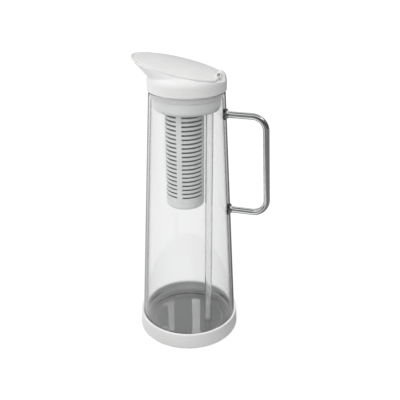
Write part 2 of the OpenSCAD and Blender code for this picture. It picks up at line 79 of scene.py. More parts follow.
# Flap and hinge
FLAP_GAP, FLAP_EDGE, FLAP_T, CROWN, LIP_SHOW, MARGIN, REST = 0.3, 1.4, 1.6, 2.4, 3.0, 4.5, 0.04
SKIRT_H, SKIRT_T, SKIRT_A, SKIRT_B, SKIRT_DX, SKIRT_BACK = 2.4, 1.2, 48.29, 34.2, 1.91, 17.6
HINGE_X, HINGE_Z, KNUCKLE_R, PIN_R, PIN_BORE, BORE_HALF = 36.5, 322.0, 2.9, 1.5, 1.55, 9.0
LUG_HALF, KNUCKLE_IN, KNUCKLE_OUT, RECESS, STRAP, NOTCH_X = 2.7, 3.0, 6.2, 0.8, 7.0, 32.0
HUMP_R, HUMP_X, HUMP_Z, HUMP_FRONT, POCKET = 6.4, 36.6, 318.8, 33.9, 6.7

# Stopper, filter and air tube
SEAL_R, SEAL_T, GROOVE_R, GROOVE_Z, FLANGE_Z, BEAD_H, BEAD = 39.096, 2.9, 36.096, 296.6, 303.0, 1.6, 0.75
PLUG_Z, PLUG_R, PLUG_LOW_R, PLUG_IN_R, PLUG_FLOOR, PLUG_ROUND = 282.0, 37.596, 36.896, 33.246, 2.4, 5.5
COLLAR_R, COLLAR_TOP, FLANGE_R = 35.146, 309.4, 38.346
FILTER_X, FILTER_R, SLEEVE_IN, FILTER_TOP, FILTER_Z, SLEEVE_Z = -3.0, 22.0, 20.2, 281.7, 168.0, 175.3
SLOT_ROWS, SLOT_PITCH, SLOT_H, SLOT_START, RIBS, RIB_ANGLE, RIB_SET = 20, 4.97, 2.1, 4.5, 4, 16.0, 0.3
WINDOW_CELLS, RIB_CELLS, SLEEVE_SOFT = 20, 4, 0.3
CAP_FLOOR, CAP_RING = 3.0, 4.8
SPIGOT_R, SPIGOT_IN, SPIGOT_Z, ORING_Z, ORING_R, ORING_REACH = 16.0, 13.4, 275.0, 278.5, 1.0, 16.3
SOCKET_R, SOCKET_Z, COLLAR_Z, COLLAR_OUT, RING_IN = 16.4, 273.0, 271.0, 20.1, 19.1
MESH_R, MESH_T, BLOCK_R, CORE_R, BLOCK_Z, BLOCK_TOP = 19.0, 0.5, 18.4, 5.0, 172.0, 270.0
TUBE_X, TUBE_R, TUBE_IN, TUBE_Z, TUBE_TOP, VENT_R = 25.6, 4.3, 3.5, 5.1, 316.3, 3.2
BUSH_IN, BUSH_R, BUSH_FLANGE_R, BUSH_LIP = 4.35, 5.55, 6.05, 0.8


def glass_r(z, stand_off=0.0):
    """Radius of the jug's outside at height z, plus a stand-off: the rim's radius plus drop times taper."""
    return RIM_R + (RIM_Z - z) * TAPER + stand_off


# Outlines


def fillet(corners, steps=7):
    """A line through corners (r, z, radius), each swung round on an arc of its own radius.

    The arc leaves each straight at radius / tan(half the corner's angle) from the corner, and its
    points are a spherical blend of the two spokes from the arc's centre.
    """
    c = np.array(corners, float)
    p, rad = c[:, :2], c[:, 2:3]
    to_prev, to_next = np.roll(p, 1, 0) - p, np.roll(p, -1, 0) - p
    to_prev /= np.linalg.norm(to_prev, axis=1, keepdims=True)
    to_next /= np.linalg.norm(to_next, axis=1, keepdims=True)
    half = np.arccos(np.clip((to_prev * to_next).sum(1, keepdims=True), -1, 1)) / 2
    middle = to_prev + to_next
    middle /= np.maximum(np.linalg.norm(middle, axis=1, keepdims=True), 1e-9)
    centre = p + middle * rad / np.sin(half)
    a = p + to_prev * rad / np.tan(half) - centre
    b = p + to_next * rad / np.tan(half) - centre
    turn = np.maximum(pi - 2 * half, 1e-6)[:, None, :]
    s = np.linspace(0, 1, steps)[None, :, None]
    arcs = (np.sin((1 - s) * turn) * a[:, None] + np.sin(s * turn) * b[:, None]) / np.sin(turn)
    line = (centre[:, None] + arcs).reshape(-1, 2)
    keep = np.linalg.norm(line - np.roll(line, 1, 0), axis=1) > 1e-6
    return line[keep]


def even(line, pitch, loop=False):
    """The same line with points added wherever two are further apart than the pitch."""
    path = np.vstack([line, line[:1]]) if loop else line
    run = np.concatenate([[0], np.cumsum(np.linalg.norm(np.diff(path, axis=0), axis=1))])
    marks = np.unique(np.round(np.concatenate([run, np.arange(0, run[-1], pitch)]), 4))
    gaps = np.diff(marks, prepend=-1.0)
    marks = marks[gaps > 0.02]
    out = np.stack([np.interp(marks, run, path[:, i]) for i in range(path.shape[1])], axis=1)
    return out[:-1] if loop else out


def arc(x, z, r, a):
    """Points at the angles a on a circle of radius r round (x, z)."""
    return np.stack([x + r * np.cos(a), z + r * np.sin(a)], axis=1)


def turned(line, x=0.0, sides=SIDES):
    """A profile (r, z) carried round an upright axis at x: (x + r cos a, r sin a, z)."""
    a = np.linspace(0, 2 * pi, sides, endpoint=False)
    r, z = line[:, 0, None], line[:, 1, None]
    return np.stack(np.broadcast_arrays(x + r * np.cos(a), r * np.sin(a), z), axis=-1)


def across(rows):
    """Rows turned about Z are laid on the hinge's axis: their height becomes the place along Y."""
    return np.stack([HINGE_X + rows[..., 0], rows[..., 2], HINGE_Z + rows[..., 1]], axis=-1)


def extruded(outline, y0, y1, ease=0.25):
    """An outline (x, z) carried along Y from y0 to y1, with ends drawn in a little and closed on its middle."""
    flat = np.stack([outline[:, 0], np.zeros(len(outline)), outline[:, 1]], axis=1)
    middle = flat.mean(0)
    size = np.linalg.norm(flat - middle, axis=1).mean()
    scale = np.array([0, 1 - ease / size, 1, 1, 1 - ease / size, 0])[:, None, None]
    at = np.array([y0, y0, y0 + ease, y1 - ease, y1, y1])[:, None, None]
    return middle + (flat - middle) * scale + at * np.array([0, 1.0, 0])


def on_rim(u, y, lift):
    """Points of the frame from places on the trough's sloping plane: u down the slope, y across, lift off it."""
    u, y, lift = np.broadcast_arrays(u, y, lift)
    x = u * cos(TILT) + lift * sin(TILT) - SHIFT
    return np.stack([x, y, TROUGH_Z - u * sin(TILT) + lift * cos(TILT)], axis=-1)


def rim_oval(a, b, lift, dx, back):
    """An oval on the trough's sloping plane, lifted off it, and cut straight where its x would pass back."""
    t = np.linspace(0, 2 * pi, SIDES, endpoint=False)
    u = np.minimum(dx + a * np.cos(t), (back + SHIFT - lift * sin(TILT)) / cos(TILT))
    return on_rim(u, b * np.sin(t), lift)


def level_circle(r, z, back):
    """A level circle of radius r at height z, cut straight where its x would pass back."""
    t = np.linspace(0, 2 * pi, SIDES, endpoint=False)
    return np.stack([np.minimum(r * np.cos(t), back), r * np.sin(t), np.full(SIDES, z)], axis=1)


def between(first, last, steps):
    """Rows blended in equal steps from one outline to another with the same number of points."""
    s = np.linspace(0, 1, steps)[:, None, None]
    return first * (1 - s) + last * s


def capped(rows):
    """The rows with both ends closed on their middles."""
    first, last = (np.repeat(rows[i].mean(0, keepdims=True), rows.shape[1], 0)[None] for i in (0, -1))
    return np.concatenate([first, rows, last])


# Meshes


def solid(rows, loop=False):
    """A closed mesh: quads join neighbouring rows and columns, columns close on themselves, and the rows
    close too if loop is set. Points that coincide at poles are merged and the faces are turned outwards."""
    n, m = rows.shape[:2]
    index = np.arange(n * m).reshape(n, m)
    low, high = (index, np.roll(index, -1, 0)) if loop else (index[:-1], index[1:])
    quads = np.stack([low, np.roll(low, -1, 1), np.roll(high, -1, 1), high], axis=-1)
    mesh = bpy.data.meshes.new("solid")
    mesh.from_pydata((rows.reshape(-1, 3) * MM).tolist(), [], quads.reshape(-1, 4).tolist())
    made = bmesh.new()
    made.from_mesh(mesh)
    bmesh.ops.remove_doubles(made, verts=made.verts, dist=1e-6)
    bmesh.ops.recalc_face_normals(made, faces=made.faces)
    made.to_mesh(mesh)
    made.free()
    return mesh


def carved(mesh, *steps):
    """The mesh after a row of Boolean steps (operation, tool mesh), worked out at once."""
    body = bpy.data.objects.new("body", mesh)
    scene.collection.objects.link(body)
    tools = [bpy.data.objects.new("tool", tool) for _, tool in steps]
    for (operation, _), tool in zip(steps, tools):
        scene.collection.objects.link(tool)
        modifier = body.modifiers.new("carve", "BOOLEAN")
        modifier.operation, modifier.object, modifier.solver = operation, tool, "EXACT"
    evaluated = body.evaluated_get(bpy.context.evaluated_depsgraph_get())
    result = bpy.data.meshes.new_from_object(evaluated)
    for obj in [body, *tools]:
        bpy.data.objects.remove(obj)
    return result


def place(name, mesh, body, node, finish, crease=32):
    """Puts a finished mesh in the scene: it rides on a body and stands for a CAD node."""
    mesh.name = name
    mesh.shade_smooth()
    mesh.set_sharp_from_angle(angle=radians(crease))
    mesh.materials.clear()
    mesh.materials.append(finish)
    obj = bpy.data.objects.new(name, mesh)
    scene.collection.objects.link(obj)
    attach(obj, body)
    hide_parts(node)
    return obj


def drum(x, z0, z1, r, sides=48):
    """Tool: an upright cylinder round an axis at x, closed on that axis at both ends."""
    return solid(turned(np.array([[0, z0], [r, z0], [r, z1], [0, z1]], float), x, sides))


def block(x0, x1, y, z0, z1):
    """Tool: a box that reaches y to both sides, as a square outline carried along Y."""
    return solid(extruded(np.array([[x0, z0], [x1, z0], [x1, z1], [x0, z1]], float), -y, y, 0.001))


# Shader values


class Val:
    """A shader value: wraps an output socket, and arithmetic on it adds Math nodes to its graph."""

    def __init__(self, graph, socket):
        self.graph, self.socket = graph, socket

    def maths(self, operation, a, b):
        return self.graph.add("Math", {"operation": operation}, {0: a, 1: b})

    def __add__(self, other):
        return self.maths("ADD", self, other)

    def __sub__(self, other):
        return self.maths("SUBTRACT", self, other)

    def __mul__(self, other):
        return self.maths("MULTIPLY", self, other)

    def __truediv__(self, other):
        return self.maths("DIVIDE", self, other)

    def __radd__(self, other):
        return self.maths("ADD", other, self)

    def __rsub__(self, other):
        return self.maths("SUBTRACT", other, self)

    def __rmul__(self, other):
        return self.maths("MULTIPLY", other, self)

    def larger(self, other):
        """The larger of the two values."""
        return self.maths("MAXIMUM", self, other)

    def clipped(self):
        """The value held between 0 and 1."""
        return self.graph.add("Clamp", {}, {"Value": self})

    def rising(self, low, high):
        """0 below low, 1 above high, and a smooth S between them."""
        settings = {"interpolation_type": "SMOOTHSTEP"}
        return self.graph.add("MapRange", settings, {"Value": self, "From Min": low, "From Max": high})


class Graph:
    """The nodes of one material or world."""

    def __init__(self, owner):
        owner.use_nodes = True
        self.tree = owner.node_tree
        self.tree.nodes.clear()

    def add(self, kind, settings, inputs, out=0):
        """Adds a node of a kind: its settings first, then values or links for its sockets."""
        node = self.tree.nodes.new("ShaderNode" + kind)
        for key, value in settings.items():
            setattr(node, key, value)
        for key, value in inputs.items():
            if isinstance(value, Val):
                self.tree.links.new(value.socket, node.inputs[key])
            else:
                node.inputs[key].default_value = value
        return Val(self, node.outputs[out]) if node.outputs else None

    def coords(self, stretch=(1, 1, 1)):
        """Object coordinates, stretched along the axes."""
        at = self.add("TexCoord", {}, {}, "Object")
        return self.add("Mapping", {}, {"Vector": at, "Scale": stretch})

    def vector(self, operation, a, b, out=0):
        """Vector maths on a and b."""
        return self.add("VectorMath", {"operation": operation}, {0: a, 1: b}, out)

    def length(self, at):
        """Length of a vector."""
        return self.add("VectorMath", {"operation": "LENGTH"}, {0: at}, "Value")

    def along(self, at, axis):
        """How far a vector reaches along an axis of length 1."""
        return self.vector("DOT_PRODUCT", at, axis, "Value")

    def part(self, at, axis):
        """One of a vector's X, Y and Z."""
        return self.add("SeparateXYZ", {}, {0: at}, axis)

    def noise(self, scale, detail=3.0, stretch=(1, 1, 1)):
        """Cloudy noise, as many waves to the metre as scale says."""
        return self.add("TexNoise", {}, {"Vector": self.coords(stretch), "Scale": scale, "Detail": detail})

    def ray(self, kind):
        """1 for rays of a kind, such as Camera, Glossy or Transmission, and 0 for all others."""
        return self.add("LightPath", {}, {}, "Is " + kind + " Ray")

    def tint(self, factor, a, b):
        """Colour blended from a to b."""
        return self.add("Mix", {"data_type": "RGBA"}, {0: factor, 6: (*a, 1), 7: (*b, 1)}, 2)

    def bump(self, height, strength, distance):
        """Normal bent by a height."""
        return self.add("Bump", {}, {"Height": height, "Strength": strength, "Distance": distance})

    def end(self, shader):
        """Makes a shader the material's surface."""
        self.add("OutputMaterial", {}, {"Surface": shader})


def new_finish(name):
    """A new material and its graph."""
    material = bpy.data.materials.new(name)
    return material, Graph(material)


def moulded_plastic(name, pale, deep, rough, coat=0.0, grain=0.05):
    """Injection-moulded plastic: faint cloudy tone, uneven satin gloss and the fine grain of the mould."""
    material, g = new_finish(name)
    cloud, grit = g.noise(38.0, 4.0), g.noise(2600.0, 2.0)
    g.end(g.add("BsdfPrincipled", {}, {
        "Base Color": g.tint(cloud.rising(0.3, 0.7), deep, pale),
        "Roughness": rough + 0.1 * g.noise(140.0) + 0.05 * grit,
        "IOR": 1.49,
        "Coat Weight": coat,
        "Coat Roughness": 0.12,
        "Normal": g.bump(grit, grain, 0.0002),
    }))
    return material


def clear_glass(name, body, edge, span, haze, ior, clear):
    """Clear wall, greyer the further it turns edge on.

    Haze is a slow greying for the longer way through the wall. Over the span of facing values it goes all the
    way to the edge's colour: painted shade that stands in for the dark edge lines that the surroundings cast
    into the glass.
    """
    material, g = new_finish(name)
    facing = g.add("LayerWeight", {}, {"Blend": 0.5}, "Facing")
    # Slow haze from the way through the wall, then painted shade at the edges out to the edge colour
    haze_and_edge_shade = (haze * facing + facing.rising(*span)).clipped()
    g.end(g.add("BsdfPrincipled", {}, {
        "Base Color": g.tint(haze_and_edge_shade, body, edge),
        "Roughness": 0.012 * g.noise(22.0).rising(0.45, 0.8),
        "IOR": ior,
        "Transmission Weight": clear,
    }))
    return material


def polished_steel(name, colour, rough, near_wall_dark=0.0):
    """Polished stainless steel: a mirror with fine polishing lines and faint handling marks.

    It turns darker and rougher towards the jug's wall, by as much as the last argument says: the distance is
    sqrt(x x + y y) less the wall's tapered radius.
    """
    material, g = new_finish(name)
    lines = g.noise(900.0, 2.0, (1, 1, 0.08))
    marks = g.noise(60.0, 5.0)
    at = g.coords()
    wall = glass_r(0) * MM - TAPER * g.part(at, "Z")
    off = g.length(g.vector("MULTIPLY", at, (1, 1, 0))) - wall
    # Darker and rougher close to the jug's wall
    near_wall_darkening = near_wall_dark * (1.0 - off.rising(0.0013, 0.0026))
    tone = (1.0 - 0.06 * marks.rising(0.35, 0.7)) * (1.0 - near_wall_darkening)
    g.end(g.add("BsdfPrincipled", {}, {
        "Base Color": g.tint(tone, (0, 0, 0), colour),
        "Metallic": 1.0,
        "Roughness": rough + 0.03 * lines + 0.03 * marks.rising(0.5, 0.8) + 0.15 * near_wall_darkening,
        "Normal": g.bump(lines, 0.01, 0.0001),
    }))
    return material


def soft_rubber(name, pale, deep, rough, fleck, wall=1.0):
    """Silicone or rubber: even tone with fine flecks, a dull skin and a soft sheen.

    Wall is how many times paler it is higher up, from about 3 mm to 8 mm above the base.
    """
    material, g = new_finish(name)
    flecks = g.noise(fleck)
    # Paler higher up the wall, by the factor wall
    paler_up = (wall - 1.0) * g.part(g.coords(), "Z").rising(0.003, 0.008)
    colour = g.tint(flecks.rising(0.35, 0.65), deep, pale)
    g.end(g.add("BsdfPrincipled", {}, {
        "Base Color": g.add("VectorMath", {"operation": "SCALE"}, {0: colour, "Scale": 1.0 + paler_up}),
        "Roughness": rough + 0.12 * g.noise(90.0),
        "IOR": 1.42,
        "Sheen Weight": 0.08,
        "Normal": g.bump(flecks, 0.06, 0.0002),
    }))
    return material


def woven_mesh(name, thread, hole):
    """Fine woven mesh round a drum: rings of thread up the height cross threads round the angle."""
    material, g = new_finish(name)
    at = g.vector("SUBTRACT", g.coords(), (FILTER_X * MM, 0, 0))
    turn = g.add("Math", {"operation": "ARCTAN2"}, {0: g.part(at, "Y"), 1: g.part(at, "X")})
    rings = g.add("Math", {"operation": "SINE"}, {0: g.part(at, "Z") * (2 * pi / 0.0009)})
    uprights = g.add("Math", {"operation": "SINE"}, {0: turn * 132.0})
    weave = (rings.larger(uprights) * 0.5 + 0.5).clipped()
    g.end(g.add("BsdfPrincipled", {}, {
        "Base Color": g.tint(weave, hole, thread),
        "Roughness": 0.75 - 0.25 * weave,
        "Normal": g.bump(weave, 0.5, 0.0003),
    }))
    return material


def pressed_carbon(name):
    """Pressed carbon: black grains with a few that glint."""
    material, g = new_finish(name)
    grain = g.add("TexVoronoi", {}, {"Vector": g.coords(), "Scale": 900.0}, "Distance")
    g.end(g.add("BsdfPrincipled", {}, {
        "Base Color": g.tint(grain, (0.035, 0.035, 0.037), (0.012, 0.012, 0.013)),
        "Roughness": 0.55 + 0.35 * grain,
        "Normal": g.bump(grain, 0.6, 0.0004),
    }))
    return material


# The near-black edge colours of the glass and the tube are painted shade for their dark edge lines
GLASS = clear_glass("clear_glass", (0.965, 0.967, 0.967), (0, 0, 0), (0.63, 0.83), 0.13, 1.47, 1.0)
TUBE_CLEAR = clear_glass("clear_tube", (0.95, 0.952, 0.952), (0.03, 0.03, 0.03), (0.42, 0.75), 0.0, 1.45, 0.9)
SHELL_WHITE = moulded_plastic("shell_white", (0.82, 0.82, 0.815), (0.79, 0.79, 0.785), 0.24, 0.15)
STOPPER_PALE = moulded_plastic("stopper_pale", (0.76, 0.765, 0.765), (0.72, 0.725, 0.725), 0.3)
FILTER_DARK = moulded_plastic("filter_dark", (0.16, 0.164, 0.168), (0.12, 0.122, 0.125), 0.5)
FILTER_WHITE = moulded_plastic("filter_white", (0.74, 0.75, 0.75), (0.7, 0.71, 0.71), 0.34)
STEEL = polished_steel("polished_steel", (0.7, 0.705, 0.71), 0.02, 0.88)
PIN_STEEL = polished_steel("pin_steel", (0.6, 0.6, 0.61), 0.16)
LINER_GREY = soft_rubber("liner_grey", (0.125, 0.127, 0.129), (0.108, 0.11, 0.112), 0.42, 700.0, 3.3)
SILICONE = soft_rubber("silicone", (0.7, 0.7, 0.7), (0.66, 0.66, 0.66), 0.35, 300.0)
RUBBER_DARK = soft_rubber("rubber_dark", (0.03, 0.03, 0.03), (0.018, 0.018, 0.018), 0.45, 500.0)
MESH_GREY = woven_mesh("mesh_grey", (0.2, 0.205, 0.21), (0.04, 0.04, 0.042))
CARBON = pressed_carbon("pressed_carbon")


# Jug


def jug_glass():
    """Tapered wall with a round rim and heel: a profile from the foot's centre, over the rim, to the floor's."""
    line = even(fillet([
        (0, GLASS_Z, 0), (glass_r(GLASS_Z), GLASS_Z, HEEL_R),
        (RIM_R, RIM_Z, GLASS_T * 0.49), (NECK_R, RIM_Z, GLASS_T * 0.49),
        (glass_r(GLASS_FLOOR_Z, -GLASS_T * SLANT), GLASS_FLOOR_Z, HEEL_IN_R), (0, GLASS_FLOOR_Z, 0),
    ], 12), 9.0)
    jug = place("jug_glass", solid(turned(line, 0, 192)), "jug", "jug_body", GLASS, 60)
    jug.visible_shadow = jug.visible_diffuse = False


def handle_rod():
    """Round section carried along a path in the XZ plane: out from a flared foot, round two bends, and back.

    At a station (x, z, radius, angle) the section spans the path's normal and Y. Each foot is a flange, a
    little wider along Y, that eases into the rod. Points that would lie in the tapered wall are moved out
    on to it.
    """
    out, flare = fillet([
        (-0.8, FLARE_R, 0), (1.3, FLARE_R, 0.6), (1.9, ROD_R + 0.8, 0.3), (FLARE_LEN, ROD_R, 1.2),
        (FLARE_LEN + 2, ROD_R, 0)], 6).T
    reach = (GRIP_REACH - BEND_R) * SLANT
    grip = atan(TAPER)

    def stations(x, z, r, a):
        return np.stack(np.broadcast_arrays(x, z, r, a), axis=1)

    def foot(z, a):
        return stations(glass_r(z) + out, z, flare, a)

    def bend(z, first, last):
        a = np.linspace(first, last, BEND_STEPS)
        return stations(glass_r(z) + reach + BEND_R * np.cos(a), z + BEND_R * np.sin(a), ROD_R, a)

    path = np.vstack([
        foot(BAR_HIGH_Z, pi / 2), bend(BAR_HIGH_Z - BEND_R, pi / 2, grip),
        bend(BAR_LOW_Z + BEND_R, grip, -pi / 2), foot(BAR_LOW_Z, -pi / 2)[::-1]])
    t = np.linspace(0, 2 * pi, 48, endpoint=False)
    x, z, r, a = (path[:, i, None] for i in range(4))
    wide = r + (FLARE_WIDE - 1) * FLARE_R * (r - ROD_R) / (FLARE_R - ROD_R)
    rows = np.stack(np.broadcast_arrays(
        x + r * np.cos(t) * np.cos(a), wide * np.sin(t), z + r * np.cos(t) * np.sin(a)), axis=-1)
    wall = np.sqrt(np.maximum((glass_r(rows[..., 2]) + WELD_GAP) ** 2 - rows[..., 1] ** 2, 0))
    rows[..., 0] = np.maximum(rows[..., 0], wall)
    place("handle_rod", solid(capped(rows)), "jug", "jug_handle", STEEL, 50)


def base_pieces():
    """Cup and liner: profiles that follow the glass at named stand-offs."""
    cup = even(fillet([
        (0, 0, 0), (glass_r(0, CUP_OUT), 0, 1.2), (glass_r(CUP_H, CUP_OUT), CUP_H, 0.7),
        (glass_r(CUP_H, LINER_GAP), CUP_H, 0.25), (glass_r(CUP_LIP_Z, LINER_GAP), CUP_LIP_Z, 0),
        (glass_r(CUP_LIP_Z, CUP_IN), CUP_LIP_Z, 0), (glass_r(CUP_FLOOR, CUP_IN), CUP_FLOOR, HEEL_R + LINER_T),
        (0, CUP_FLOOR, 0),
    ]), 6.0)
    place("cup_shell", solid(turned(cup, 0, 192)), "jug", "base_cup", SHELL_WHITE)
    top = CUP_LIP_Z - FIT
    liner = even(fillet([
        (0, CUP_FLOOR, 0), (glass_r(CUP_FLOOR, LINER_OUT), CUP_FLOOR, HEEL_R + LINER_T),
        (glass_r(top, LINER_OUT), top, 0.2), (glass_r(top, LINER_GAP), top, 0.2),
        (glass_r(GLASS_Z, LINER_GAP), GLASS_Z, HEEL_R), (0, GLASS_Z, 0),
    ]), 6.0)
    place("liner_cup", solid(turned(liner, 0, 192)), "jug", "base_liner", LINER_GREY)


# Lid


def hinge_bore():
    """Tool: the pin's bore through lug and knuckles."""
    line = np.array([[0, -BORE_HALF], [PIN_BORE, -BORE_HALF], [PIN_BORE, BORE_HALF], [0, BORE_HALF]])
    return solid(across(turned(line, 0, 40)))


def above_rim():
    """Tool: a slab over the trough's sloping plane, which starts a little under it."""
    u, lift = np.array([(-90, -0.3), (90, -0.3), (90, 60), (-90, 60)]).T
    return solid(capped(np.stack([on_rim(u, y, lift) for y in (-80, 80)])))


def trough_room():
    """Tool: the room inside the trough, let a little into its wall, from a level circle up past the oval rim."""
    grow = 0.5
    low = level_circle(BORE_R - LEDGE + grow, DECK_Z - LEDGE, TROUGH_BACK + grow)
    high = rim_oval(RIM_A - TROUGH_WALL + grow, RIM_B - TROUGH_WALL + grow, 0, 0, TROUGH_BACK + grow)
    rows = between(low, high, 6)
    top = rows[-1] + (rows[-1] - rows[-2])
    return solid(capped(np.stack([*rows, top])))


def trough_skin():
    """The trough's wall as one loop of rows: up the outside, over the rounded rim, and down the inside."""
    edge = [(0, -0.9), (0.07, -0.45), (0.3, -0.12), (0.7, 0)]
    in_a, in_b = RIM_A - TROUGH_WALL, RIM_B - TROUGH_WALL
    rim_out = [rim_oval(RIM_A - d, RIM_B - d, z, 0, DECK_FRONT) for d, z in edge]
    rim_in = [rim_oval(in_a + d, in_b + d, z, 0, TROUGH_BACK) for d, z in edge[::-1]]
    outer = between(level_circle(RIM_R - SKIN_IN, SKIN_Z, DECK_FRONT), rim_out[0], 14)
    inner = between(rim_in[-1], level_circle(BORE_R - LEDGE, DECK_Z - LEDGE, TROUGH_BACK), 14)
    return solid(np.concatenate([outer, np.stack(rim_out[1:] + rim_in), inner[1:]]), True)


def lip_crescent():
    """Crescent in front of the flap's tip: at each angle a section from the rim's step to the flap's front
    edge, with rounded top corners, and both horns closed on their middles."""
    stop = np.arccos((LIP_LEN - RIM_A) / (RIM_A - LIP_STEP))
    t = np.linspace(stop, 2 * pi - stop, 61)[:, None]
    share, lift = np.array([
        (0, -LIP_SUNK), (0, LIP_H - LIP_SOFT), (0.12, LIP_H - 0.15), (0.35, LIP_H), (0.7, LIP_H),
        (0.9, LIP_H - 0.12), (1, LIP_H - LIP_SOFT), (1, -LIP_SUNK)]).T
    outer = np.stack([(RIM_A - LIP_STEP) * np.cos(t), (RIM_B - LIP_STEP) * np.sin(t)])
    inner = np.stack([LIP_SHOW / 2 + (RIM_A - LIP_SHOW / 2 + 0.3) * np.cos(t), RIM_B * np.sin(t)])
    u, y = outer * (1 - share) + inner * share
    return solid(capped(on_rim(u, y, lift)))


def hinge_lug():
    """Lug between the knuckles: a round hump behind the pin, and the knuckles' own curve in front of it."""
    hump = np.linspace(np.arcsin((SKIN_Z - HUMP_Z) / HUMP_R), np.arccos((HUMP_FRONT - HUMP_X) / HUMP_R), 33)
    front = np.linspace(radians(125), pi, 9)
    outline = np.concatenate([
        arc(HUMP_X, HUMP_Z, HUMP_R, hump), arc(HINGE_X, HINGE_Z, KNUCKLE_R, front),
        [[HINGE_X - KNUCKLE_R, SKIN_Z]]])
    return solid(extruded(outline, -LUG_HALF, LUG_HALF))


def lid_shell():
    """Round head with a rounded shoulder, trough drawn out of it to a sloping oval lip, hinge deck and lug,
    joined to one skin.

    The shoulder is turned and cut level with the trough's plane. The trough's skins are straight blends from
    a level circle to an oval on that plane, cut straight at the back, where the wall between them holds the
    air tube's socket and its vent.
    """
    shoulder = arc(HEAD_R - SHOULDER_R, SHOULDER_Z, SHOULDER_R, np.linspace(0, SHOULDER_TURN, 16))
    foot = fillet([(0, HEAD_Z, 0), (HEAD_R, HEAD_Z, 0.6), (HEAD_R, SHOULDER_Z - 1, 0)])
    head = np.concatenate([even(foot, 4.0), shoulder, [[0, shoulder[-1, 1]]]])
    mesh = carved(
        solid(turned(head, 0, 160)),
        (CUT, above_rim()),
        (CUT, trough_room()),
        (CUT, block(DECK_FRONT - 0.01, 60, POCKET, HEAD_TOP, 350)),
        (CUT, drum(0, HEAD_Z - 2, DECK_Z, BORE_R, 144)),
        (JOIN, trough_skin()),
        (JOIN, lip_crescent()),
        (JOIN, hinge_lug()),
        (CUT, hinge_bore()),
        (CUT, drum(TUBE_X, DECK_Z - 2, HEAD_TOP, TUBE_R + FIT)),
        (CUT, drum(TUBE_X, DECK_Z - 2, TROUGH_Z, VENT_R)),
        (CUT, block(TUBE_X, DECK_FRONT + 1, VENT_R, HEAD_TOP, TROUGH_Z)),
    )
    place("lid_shell", mesh, "lid", "lid_head", SHELL_WHITE)


def flap_crown():
    """Crowned oval on the sloping plane: lift = edge + crown (1 - k k) at the share k of its half axes.

    The underside is the same crown one thickness lower, inside a level margin.
    """
    a, dx = RIM_A - LIP_SHOW / 2, LIP_SHOW / 2
    top = FLAP_GAP + FLAP_EDGE
    low = top - FLAP_T
    edge = [(0.2, top), (0.03, top - 0.22), (0, top - 0.6), (0, REST + 0.2), (0.06, REST + 0.05), (0.2, REST)]
    under = np.linspace(sqrt(1 - (FLAP_GAP - low) / CROWN), 0, 14)
    sizes = [(a * k, RIM_B * k, top + CROWN * (1 - k * k)) for k in np.linspace(0, 0.985, 18)]
    sizes += [(a - d, RIM_B - d, z) for d, z in edge]
    sizes += [((a - MARGIN) * k, (RIM_B - MARGIN) * k, low + CROWN * (1 - k * k)) for k in under]
    return solid(np.stack([rim_oval(*size, dx, HINGE_X) for size in sizes]))


def flap_skirt():
    """A small rounded bar carried along an oval inside the trough, as far back as the trough goes."""
    stop = np.arccos(((SKIRT_BACK + SHIFT) / cos(TILT) - SKIRT_DX) / SKIRT_A)
    t = np.linspace(stop, 2 * pi - stop, 120)[:, None]
    low, high = FLAP_GAP - SKIRT_H, 0.8
    inset, lift = fillet([(0, high, 0), (0, low, 0.3), (SKIRT_T, low, 0.3), (SKIRT_T, high, 0)], 5).T
    u, y = SKIRT_DX + (SKIRT_A - inset) * np.cos(t), (SKIRT_B - inset) * np.sin(t)
    return solid(capped(on_rim(u, y, lift)))


def flap_hinge():
    """A strap and a knuckle with a recessed end on each side, as steps that join them to the flap."""
    def middle(x):
        return TROUGH_Z - (x + SHIFT) * tan(TILT) + (FLAP_GAP + FLAP_EDGE / 2) / cos(TILT)

    side = KNUCKLE_R * sqrt(0.5)
    strap = np.array([
        [HINGE_X - STRAP, middle(HINGE_X - STRAP)], [HINGE_X - side, HINGE_Z + side],
        [HINGE_X, HINGE_Z], [HINGE_X, middle(HINGE_X)]])
    knuckle = even(fillet([
        (PIN_BORE, KNUCKLE_IN, 0), (KNUCKLE_R, KNUCKLE_IN, 0.2), (KNUCKLE_R, KNUCKLE_OUT, 0.35),
        (KNUCKLE_R - RECESS, KNUCKLE_OUT, 0.15), (KNUCKLE_R - RECESS, KNUCKLE_OUT - RECESS, 0),
        (PIN_BORE, KNUCKLE_OUT - RECESS, 0)]), 2.0, True)
    steps = []
    for way in (1, -1):
        y0, y1 = sorted((way * KNUCKLE_IN, way * KNUCKLE_OUT))
        steps.append((JOIN, solid(extruded(strap, y0, y1, 0.2))))
        steps.append((JOIN, solid(across(turned(knuckle * [1, way], 0, 48)), True)))
    return steps


def flap_shell():
    """Crowned cover with a skirt and two knuckles, notched for the lid's lug and bored for the pin."""
    notch = block(NOTCH_X, 60, KNUCKLE_IN, HEAD_TOP - 5, 345)
    mesh = carved(flap_crown(), (JOIN, flap_skirt()), *flap_hinge(), (CUT, notch), (CUT, hinge_bore()))
    place("flap_shell", mesh, "flap", "spout_flap", SHELL_WHITE)


def hinge_rod():
    """Short pin across the hinge with rounded ends."""
    end = KNUCKLE_OUT - RECESS / 2
    line = fillet([(0, -end, 0), (PIN_R, -end, 0.4), (PIN_R, end, 0.4), (0, end, 0)])
    place("hinge_rod", solid(across(turned(line, 0, 40))), "lid", "hinge_pin", PIN_STEEL)


